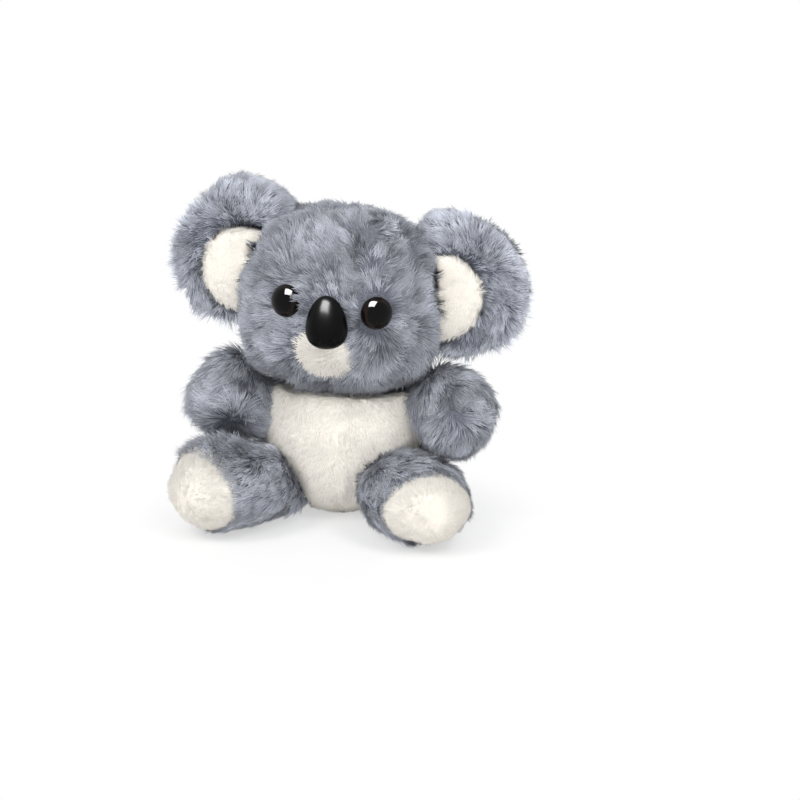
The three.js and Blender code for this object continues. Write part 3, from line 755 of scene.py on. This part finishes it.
def finishGloss(name, places, faces, rings, node, slot):
    mesh = bpy.data.meshes.new(name)
    mesh.from_pydata([tuple(p) for p in places], [], faces)
    mesh.shade_smooth()
    mesh.attributes.new("ring", "FLOAT", "POINT").data.foreach_set("value", rings)
    mesh.materials.append(glosses[slot])
    obj = makeObject(name, mesh)
    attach(obj, "head")
    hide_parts(node)


def makeEye(side):
    tip, axis = eyeTips[side]
    base = tip + axis * eye["stem"]
    sideways = unit(np.cross(headUp, axis))
    upwards = np.cross(axis, sideways)
    profile = list(eye["rim"])
    for step in range(1, eye["rings"]):
        rise = math.pi / 2 * step / eye["rings"]
        profile.append((math.cos(rise), eye["dome"] / mm * math.sin(rise)))
    places, rings = [], []
    for out, up in profile:
        for step in range(eye["segments"]):
            turn = 2 * math.pi * step / eye["segments"]
            flat = sideways * math.cos(turn) + upwards * math.sin(turn)
            places.append(base + flat * eye["radius"] * out + axis * up * mm)
            rings.append(out)
    places += [base + axis * eye["rim"][0][1] * mm, base + axis * eye["dome"]]
    rings += [1.0, 0.0]
    faces = roundFaces(len(profile), eye["segments"], False)
    finishGloss(f"eye_{side}_dome", places, faces, rings, f"eye_{side}", "eye_gloss")


nose = {"depth": 11 * mm, "halfWidth": 12.8 * mm, "halfHeight": 16.6 * mm, "fullness": 2.2, "lean": 0.22,
        "turn": 8, "aside": -0.7 * mm, "above": 1.0 * mm, "back": -2.5 * mm,
        "nostrilOut": 4.6 * mm, "nostrilDown": 11.5 * mm, "nostrilRadius": 1.9 * mm,
        "nostrilDepth": 1.5 * mm, "around": 64, "along": 44}


def makeNose():
    places, _ = arraysOf(frame["nodes"]["nose"].data)
    across, over, out = (places @ headAcross), (places @ headUp), (places @ noseOut)
    middle = (headAcross * (across.min() + across.max()) / 2 + headUp * (over.min() + over.max()) / 2
              + noseOut * (out.max() - nose["depth"]))
    middle = middle + headAcross * nose["aside"] + headUp * nose["above"]
    turned = math.radians(nose["turn"])
    noseUp = headUp * math.cos(turned) - headAcross * math.sin(turned)
    noseAcross = headAcross * math.cos(turned) + headUp * math.sin(turned)
    n, m = nose["around"], nose["along"]
    made = []
    power = 2 / nose["fullness"]
    for ring in range(1, m):
        rise = -math.pi / 2 + math.pi * ring / m
        up = math.copysign(abs(math.sin(rise)) ** power, math.sin(rise))
        wide = math.cos(rise) ** power * (1 - nose["lean"] * up)
        for step in range(n):
            turn = 2 * math.pi * step / n
            x, y = nose["halfWidth"] * wide * math.cos(turn), nose["halfHeight"] * up
            z = nose["depth"] * wide * math.sin(turn)
            for side in (-1, 1):
                gap = math.hypot(x - side * nose["nostrilOut"], y + nose["nostrilDown"])
                if z > 0:
                    z -= nose["nostrilDepth"] * math.exp(-(gap / nose["nostrilRadius"]) ** 4)
            made.append(middle + noseAcross * x + noseUp * y + noseOut * max(z, nose["back"]))
    made += [middle - noseUp * nose["halfHeight"], middle + noseUp * nose["halfHeight"]]
    faces = roundFaces(m - 1, n, True)
    finishGloss("nose_egg", made, faces, [0.0] * len(made), "nose", "nose_gloss")
    return middle


for side in ("left", "right"):
    makeEye(side)
noseMiddle = makeNose()
print("eyes and nose made")


def spot(x, y, z):
    return np.array((x, y, z)) * mm


# Where stitches draw the cloth in, or a fold stands up
def steppedAlong(points, gap):
    points = np.array(points) * mm
    made = []
    for first, last in zip(points[:-1], points[1:]):
        steps = max(1, round(float(np.linalg.norm(last - first)) / gap))
        made += [first + (last - first) * k / steps for k in range(steps)]
    return [*made, points[-1]]


# What a seam does: tucks move the cloth, comb turns the pile, and tufts change its length and tone, where the
# tone is painted shade in creases and beside folds
def sewn(tucks=(), comb=(), tufts=()):
    return {"tucks": tucks, "comb": comb, "tufts": tufts}


# tone darkens the pile in a crease: painted shade
creasing = {"depth": 0.56, "combRadius": 1.6, "combWeight": 1.4, "pileRadius": 1.25, "longer": -5.0 * mm,
            "lift": -0.05, "tone": -0.9}


# The cloth sinks along a crease, the pile parts there, and the pile there is darkened as painted shade. Sizes
# here and below are in mm
def crease(points, depth, radius=4):
    depth, radius = depth * mm, radius * mm
    at = steppedAlong(points, radius)
    pile = {"radius": radius * creasing["pileRadius"], "longer": creasing["longer"],
            "lift": creasing["lift"], "tone": creasing["tone"]}
    push = {"radius": radius * creasing["combRadius"], "weight": creasing["combWeight"]}
    return sewn([{"at": p, "radius": radius, "depth": depth * creasing["depth"]} for p in at],
                [{"away": p, **push} for p in at], [{"at": p, **pile} for p in at])


# A crease that leaves the pile as it is
def groove(points, depth, radius):
    return sewn(crease(points, depth, radius)["tucks"])


# Painted shade: darker pile beside a fold
def shade(points, radius, tone):
    pile = {"radius": radius * mm, "longer": 0, "lift": 0, "tone": tone}
    return sewn(tufts=[{"at": p, **pile} for p in steppedAlong(points, radius * mm)])


# A stitch that draws the cloth to a point, with the pile lying outwards round it
def pinch(at, radius, depth, reach):
    radius, depth, reach = radius * mm, depth * mm, reach * mm
    return sewn([{"at": at, "radius": radius, "depth": depth}],
                [{"away": at, "radius": reach, "weight": 3}],
                [{"at": at, "radius": radius * 0.7, "longer": -2.5 * mm, "lift": 0}])


def ridge(at, radius, height):
    return sewn([{"at": at, "radius": radius * mm, "depth": -height * mm}])


# Pile that hangs over the top of the belly
def fringe(at):
    return sewn(comb=[{"along": (0, -0.7, -1), "near": at, "radius": 11 * mm, "weight": 1.2}],
                tufts=[{"at": at, "radius": 9 * mm, "longer": 3.5 * mm, "lift": 0.1}])


# Pile that stands up along the top of the belly
def cuff(at):
    return sewn(comb=[{"along": (0, -0.5, 1), "near": at, "radius": 8 * mm, "weight": 1.6}],
                tufts=[{"at": at, "radius": 8 * mm, "longer": 1 * mm, "lift": 0.05}])


# Pile that grows longer or shorter round a spot
def tuft(at, radius, longer, lift):
    return sewn(tufts=[{"at": at, "radius": radius * mm, "longer": longer * mm, "lift": lift}])


def combed(at, radius, along, weight):
    return sewn(comb=[{"along": along, "near": at, "radius": radius * mm, "weight": weight}])


eyePlaces = {side: tip + axis * eye["stem"] for side, (tip, axis) in eyeTips.items()}
noseBridge = spot(-18.6, -63.5, 153.5)
seams = {
    "head": [
        ridge(spot(0, -8, 206), 34, -2),
        crease([(33, -16.2, 198.9), (42.1, -26.7, 190.7), (53.3, -34.2, 173.3)], 9.5, 4.6),
        # painted shade beside the forehead crease
        shade([(29, -21, 195), (37.5, -30, 186.5), (48, -38, 169)], 4.5, -0.5),
        crease([(22.1, -36.4, 195.7), (19.5, -47.7, 186.4), (22.2, -53.7, 176.2)], 6, 3.6),
        ridge(spot(29, -35, 193), 7, 9),
        ridge(spot(35, -43, 181), 10, 8),
        tuft(spot(36, -34, 187), 20, -4.5, 0),
        combed(spot(31, -41, 185), 8, (-0.4, -0.2, -1), 2),
        tuft(spot(-58, -14, 166), 15, -7, -0.1),
        tuft(spot(59, -18, 158), 17, -4.5, -0.1),
        pinch(spot(27.5, -53, 173.5), 4, 4, 9),
        pinch(spot(30.2, -57.9, 134.3), 6, 4, 26),
        crease([(23.3, -62, 138.2), (30.2, -57.9, 134.3), (37.1, -53.8, 131.7)], 2, 3),
        ridge(noseBridge, 7, 7),
        ridge(spot(66, -16, 146), 26, -3.5),
        *(fringe(spot(x, -40 + abs(x) * 0.3, 96)) for x in (-34, -17, 0, 17, 34, 50)),
        ridge(spot(-56, -16, 182), 20, -2.5),
        ridge(spot(-2.7, -63.4, 120), 12, 2.5),
        ridge(spot(-56, -28, 106), 16, 6),
        ridge(spot(57, -28, 106), 16, 4.5),
        ridge(eyePlaces["left"] + headUp * 6 * mm, 12, 2.2),
        ridge(eyePlaces["right"] + headUp * 6 * mm, 12, 1.5),
        tuft(spot(0, -40, 92), 34, 4, 0.1),
        tuft(spot(-58, -28, 104), 14, 4, 0.1),
    ],
    "torso": [
        *(cuff(spot(x, -42 + abs(x) * 0.4, 86)) for x in (-34, -20, -7, 7, 20, 34)),
        ridge(spot(0, -42, 84), 26, 2),
        groove([(0, -49, 76), (0, -44, 14)], 0.9, 2.6),
        groove([(11.5, -47.8, 36), (9, -40, 18)], 1.6, 3.2),
    ],
    "arm_left": [
        crease([(67.2, -35.8, 96), (70, -43.4, 88.3), (74.6, -49.4, 80.2)], 5),
        pinch(spot(79.9, -51.5, 73.2), 7, 3.5, 16),
        ridge(spot(56, -16, 98), 12, 3),
    ],
    "arm_right": [
        crease([(-57, -28, 97), (-54, -32, 86)], 4),
        pinch(spot(-71.9, -38.8, 60), 6, 6.5, 26),
        ridge(spot(-56, -14, 102), 13, 4),
        tuft(spot(-58, -12, 106), 13, 2, 0),
        tuft(spot(-62, -36, 58), 14, 4, 0.2),
        tuft(spot(-104, -30, 80), 18, 4, 0.25),
    ],
    "leg_left": [pinch(spot(73.4, -105.7, 33.7), 8, 2, 10)],
    "leg_right": [
        ridge(spot(-68, -62, 54), 20, 3),
        ridge(spot(-94, -62, 52), 16, 4),
        tuft(spot(-68, -62, 54), 22, 6, 0.4),
        tuft(spot(-96, -60, 54), 14, 4, 0.3),
    ],
    "ear_right": [
        ridge(spot(-98, -5, 204), 24, -5.5),
        ridge(spot(-66, -6, 208), 18, 4),
        tuft(spot(-89, -10, 127), 22, 6, 0.15),
    ],
    "ear_left": [
        ridge(spot(106, -5, 190), 26, -5.5),
        ridge(spot(68, -6, 204), 20, 4),
        tuft(spot(112, -10, 128), 22, 6, 0.15),
    ],
}


def gathered(form, kind):
    return [part for seam in seams.get(form, ()) for part in seam[kind]]


forms = {
    "torso": Form("torso", {"back_panel": "grey", "belly_left": "white", "belly_right": "white"},
                  ["torso_stuffing"], gathered("torso", "tucks"), make=fullCloth),
    "neck": Form("neck", {"neck_stuffing": "grey"}, [], make=fullCloth),
    "head": Form("head", {"face_panel": "grey", "head_back_panel": "grey", "chin_patch": "white"},
                 ["head_stuffing"], gathered("head", "tucks")),
}
# In mm, each of them towards the outline that the photograph shows
earShift = {"left": (1, 0, -3), "right": (1, 0, 1.5)}
liningShift = {"left": (-8.5, -2, 1), "right": (5, -2, 1)}
armShift = (-1.5, 0, -1)
for side in ("left", "right"):
    ear, arm, leg = f"ear_{side}", f"arm_{side}", f"leg_{side}"
    forms[ear] = Form(ear, {f"{ear}_cup": "grey"}, [], gathered(ear, "tucks"),
                      carrier=forms["head"], shift=earShift[side])
    forms[f"lining_{side}"] = Form(ear, {f"{ear}_lining": "white"}, [], carrier=forms["head"],
                                   reach=18 * mm, make=pad, shift=liningShift[side])
    forms[arm] = Form(arm, {f"{arm}_cover": "grey"}, [f"{arm}_stuffing"], gathered(arm, "tucks"),
                      carrier=forms["torso"], shift=armShift)
    forms[leg] = Form(leg, {f"{leg}_cover": "grey", f"{leg}_sole": "white"}, [f"{leg}_stuffing"],
                      gathered(leg, "tucks"), carrier=forms["torso"])
for name, form in forms.items():
    form.makeSkin(f"{name}_skin", skinFill)
print("soft forms made", {name: len(form.corners) for name, form in forms.items()})


def downwards(weight):
    return {"along": (0, 0, -1), "weight": weight}


linings = [forms["lining_left"], forms["lining_right"]]
fromNose = noseMiddle - noseOut * 25 * mm + headAcross * 12 * mm
facePile = {"short": 6.5, "gain": 8.0, "from": 15, "over": 26, "bridge": 1.5 * mm}


# Short round the nose, and full length from 41 mm away
def faceLength(places):
    gap = np.linalg.norm(places - noseMiddle, axis=1)
    grown = np.clip((gap / mm - facePile["from"]) / facePile["over"], 0, 1)
    bridge = facePile["bridge"] * nearness(places, noseBridge, 8 * mm)
    return (facePile["short"] + facePile["gain"] * grown) * mm + bridge


behind = {"lift": 0.42, "droop": 0.2, "gather": 0.4, "share": 0.62, "width": 0.38 * mm}
whiteUsual = {"lockPull": 0.0, "roundness": 0.0}
piles = {
    "face_panel": {
        "seed": 11, "lift": 0.4, "droop": 0.2, "gather": 0.24, "length": faceLength, "crowded": 0.85,
        "seamFade": 5 * mm, "clearOf": linings, "clearance": 1.2 * mm,
        "comb": [{"away": fromNose}, downwards(0.15),
                 {"along": tuple(-headAcross), "near": noseBridge, "radius": 9 * mm, "weight": 3.0},
                 {"away": eyePlaces["left"], "weight": 2.5, "radius": 11 * mm},
                 {"away": eyePlaces["right"] + headAcross * 3 * mm, "weight": 1.0, "radius": 11 * mm}]},
    "head_back_panel": {
        **behind, "seed": 12, "length": 14.5 * mm, "clearOf": linings, "clearance": 2 * mm,
        "comb": [{"away": fromNose}, downwards(0.5)]},
    "chin_patch": {
        **whiteUsual, "seed": 13, "lift": 0.46, "droop": 0.24, "gather": 0.1, "length": 6.5 * mm,
        # painted light: the chin pile is given a lighter tone against the shade under the nose
        "tone": 1.2, "seamFade": 1 * mm,
        "comb": [{"away": centreOf("chin_patch") - noseOut * 6 * mm}, downwards(0.4)]},
    "back_panel": {
        **behind, "seed": 14, "length": 14 * mm, "fluff": 0.3,
        "comb": [downwards(1), {"away": spot(0, -20, 90), "weight": 0.6}]},
    "neck_stuffing": {
        "seed": 17, "lift": 0.4, "droop": 0.2, "gather": 0.4, "length": 10 * mm, "crowded": 0.9,
        "comb": [downwards(1)]},
}
for index, side in enumerate(("left", "right")):
    sign = 1 if side == "left" else -1
    piles[f"belly_{side}"] = {
        **whiteUsual, "seed": 20 + index, "lift": 0.42, "droop": 0.22, "gather": 0.0, "length": 6.5 * mm,
        # painted light: the belly pile is given a lighter tone against the shade of the head and limbs
        "crowded": 0.95, "swirl": 0.25, "fluff": 0.2, "tone": 1.2, "seamFade": 1 * mm,
        "comb": [{"along": (sign * 0.35, 0, -1)}]}
    lining = centreOf(f"ear_{side}_lining")
    inBowl = lining + spot(0, 35, 0)
    piles[f"ear_{side}_cup"] = {
        "seed": 30 + index, "lift": 0.42, "droop": 0.3, "gather": 0.26, "length": 11 * mm,
        "lockPull": 0.35, "tone": 0.3, "clearOf": [forms[f"lining_{side}"]], "clearance": 1.5 * mm,
        "comb": [{"away": lining}, downwards(0.5),
                 {"along": (sign * 0.9, 0, -0.3), "near": inBowl, "radius": 30 * mm, "weight": 1.6}]}
    piles[f"ear_{side}_lining"] = {
        **whiteUsual, "seed": 40 + index, "lift": 0.4, "droop": 0.2, "gather": 0.0, "length": 5.5 * mm,
        "crowded": 0.9, "tone": 0.3, "comb": [{"away": lining}, downwards(0.6)]}
    shoulder = jointPlace(f"arm_{side}_swing")
    piles[f"arm_{side}_cover"] = {
        "seed": 50 + index, "lift": 0.44, "droop": 0.22, "gather": 0.3, "length": 14 * mm, "crowded": 0.8,
        "comb": [{"away": shoulder + spot(0, 10, 30)}, downwards(0.6)]}
    hip = jointPlace(f"leg_{side}_swing")
    sole = centreOf(f"leg_{side}_sole")
    outwards = unit(sole - hip)
    piles[f"leg_{side}_cover"] = {
        "seed": 60 + index, "lift": 0.42, "droop": 0.22, "gather": 0.3, "length": 13 * mm, "tone": 0.1,
        "comb": [{"along": tuple(outwards)}, downwards(0.25)]}
    piles[f"leg_{side}_sole"] = {
        **whiteUsual, "seed": 70 + index, "lift": 0.46, "droop": 0.24, "gather": 0.0, "length": 5.5 * mm,
        # painted shade: the soles, which face the lamps, are given a darker tone
        "tone": -1.4, "seamFade": 1 * mm, "comb": [{"away": sole + outwards * 8 * mm}]}

# Pile keeps off the eyes and nose; the right eye's inner side is left partly covered
guardDepth = 5 * mm
guards = [
    {"at": eyePlaces["left"], "axis": eyeAxes["left"], "root": 10.2 * mm, "tip": 9.0 * mm},
    {"at": eyePlaces["right"], "axis": eyeAxes["right"], "root": 9.8 * mm, "tip": 0},
    {"at": eyePlaces["right"] - headAcross * 3 * mm, "axis": eyeAxes["right"], "root": 0, "tip": 7.2 * mm},
    {"at": noseMiddle, "axis": noseOut, "root": 10.5 * mm, "tip": 10.0 * mm},
]
total = 0
for index, (name, form) in enumerate(forms.items()):
    rng = np.random.default_rng(pileCommon["seed"] + index)
    places, normals = spreadOver(form, pileCommon["clumpGap"], rng)
    room = roomAround([other for other in forms.values() if other is not form], places, normals)
    free = room > 0
    places, normals, room = places[free], normals[free], room[free]
    nodes, seam = nearestCover(form.covers, places)
    for node, colour in form.covers.items():
        chosen = nodes == node
        if not chosen.any():
            continue
        c = {**pileUsual, **piles[node], "tufts": gathered(name, "tufts")}
        c["comb"] = c["comb"] + gathered(name, "comb")
        chosen &= rng.random(len(places)) < c["share"]
        spots = {"places": places[chosen], "normals": normals[chosen], "room": room[chosen],
                 "seam": seam[chosen]}
        strands = growPile(f"{node}_pile", form, colour, c, spots, guards if name == "head" else [])
        total += strands
        print(node, "strands", strands)
print("pile grown", total)

# The CAD pieces inside keep their shapes
for node in ("pellet_bag", "eye_left_washer", "eye_right_washer", "nose_washer"):
    own = frame["nodes"][node].data.materials
    own.clear()
    own.append(linen if node == "pellet_bag" else plastic)
print("inner pieces finished")

# Floor and light. Gloss, glass and the camera see a white floor and a white room
seenAsWhite = ("Is Camera Ray", "Is Glossy Ray", "Is Transmission Ray")
studio = {"floor": 3.0, "paper": 0.93, "middle": (0.0, -0.035, 0.0), "fadeFrom": 0.085, "fadeTo": 0.15,
          "shadow": 0.45, "world": 0.5, "aimAt": (0, 0, 0.11)}
lamps = {
    "key": {"place": (-0.8, -0.95, 1.25), "size": (0.55, 0.85), "power": 11.5},
    "fill": {"place": (0.8, -0.8, 1.15), "size": (0.5, 0.8), "power": 9},
    "low": {"place": (0.1, -1.65, 0.14), "size": (1.6, 0.5), "power": 12},
    "back": {"place": (0.0, 1.35, 1.0), "size": (1.6, 1.2), "power": 9},
    "gleam": {"place": (-0.15, -0.75, 1.7), "size": (1.3, 1.3), "power": 600, "mirrored": True},
}


def makeFloor(c):
    s = Shader(bpy.data.materials.new("studioFloor"))
    gap = s.add("ShaderNodeVectorMath", {"operation": "DISTANCE"}, {0: s.place(), 1: c["middle"]},
                output="Value")
    fade = s.add("ShaderNodeMapRange", {"interpolation_type": "SMOOTHSTEP"},
                 {"Value": gap, "From Min": c["fadeFrom"], "From Max": c["fadeTo"]})
    seen, glanced, through = (s.add("ShaderNodeLightPath", output=ray) for ray in seenAsWhite)
    paper = s.add("ShaderNodeBsdfDiffuse", inputs={"Color": (c["paper"], c["paper"], c["paper"], 1)})
    white = s.add("ShaderNodeEmission", inputs={"Color": (1, 1, 1, 1), "Strength": 1.0})
    share = (seen + glanced + through) * (1 - (1 - fade) * c["shadow"])
    floorMaterial = s.finish(s.add("ShaderNodeMixShader", inputs={0: share, 1: paper, 2: white}))
    half = c["floor"] / 2
    mesh = bpy.data.meshes.new("studioFloor")
    corners = [(-half, -half, 0), (half, -half, 0), (half, half, 0), (-half, half, 0)]
    mesh.from_pydata(corners, [], [(0, 1, 2, 3)])
    mesh.materials.append(floorMaterial)
    makeObject("studioFloor", mesh)


def makeWorld(c):
    world = bpy.data.worlds.new("studio")
    bpy.context.scene.world = world
    s = Shader(world, "ShaderNodeOutputWorld")

    def light(strength):
        return s.add("ShaderNodeBackground", inputs={"Color": (1, 1, 1, 1), "Strength": strength})

    shown = light(c["world"])
    for ray in seenAsWhite:
        shown = s.add("ShaderNodeMixShader", inputs={
            0: s.add("ShaderNodeLightPath", output=ray), 1: shown, 2: light(1.0)})
    s.finish(shown)


# A mirrored lamp shows in gloss and lights nothing, and the others only light
def makeLamp(name, c):
    data = bpy.data.lights.new(name, "AREA")
    data.shape = "RECTANGLE"
    data.size, data.size_y = c["size"]
    data.energy = c["power"]
    obj = bpy.data.objects.new(name, data)
    obj.location = c["place"]
    obj.visible_glossy = c.get("mirrored", False)
    obj.visible_diffuse = not obj.visible_glossy
    obj.rotation_euler = (Vector(studio["aimAt"]) - Vector(c["place"])).to_track_quat("-Z", "Y").to_euler()
    bpy.context.scene.collection.objects.link(obj)


makeFloor(studio)
makeWorld(studio)
for name, lamp in lamps.items():
    makeLamp(name, lamp)
bpy.context.scene.view_settings.view_transform = "Standard"
print("studio made")
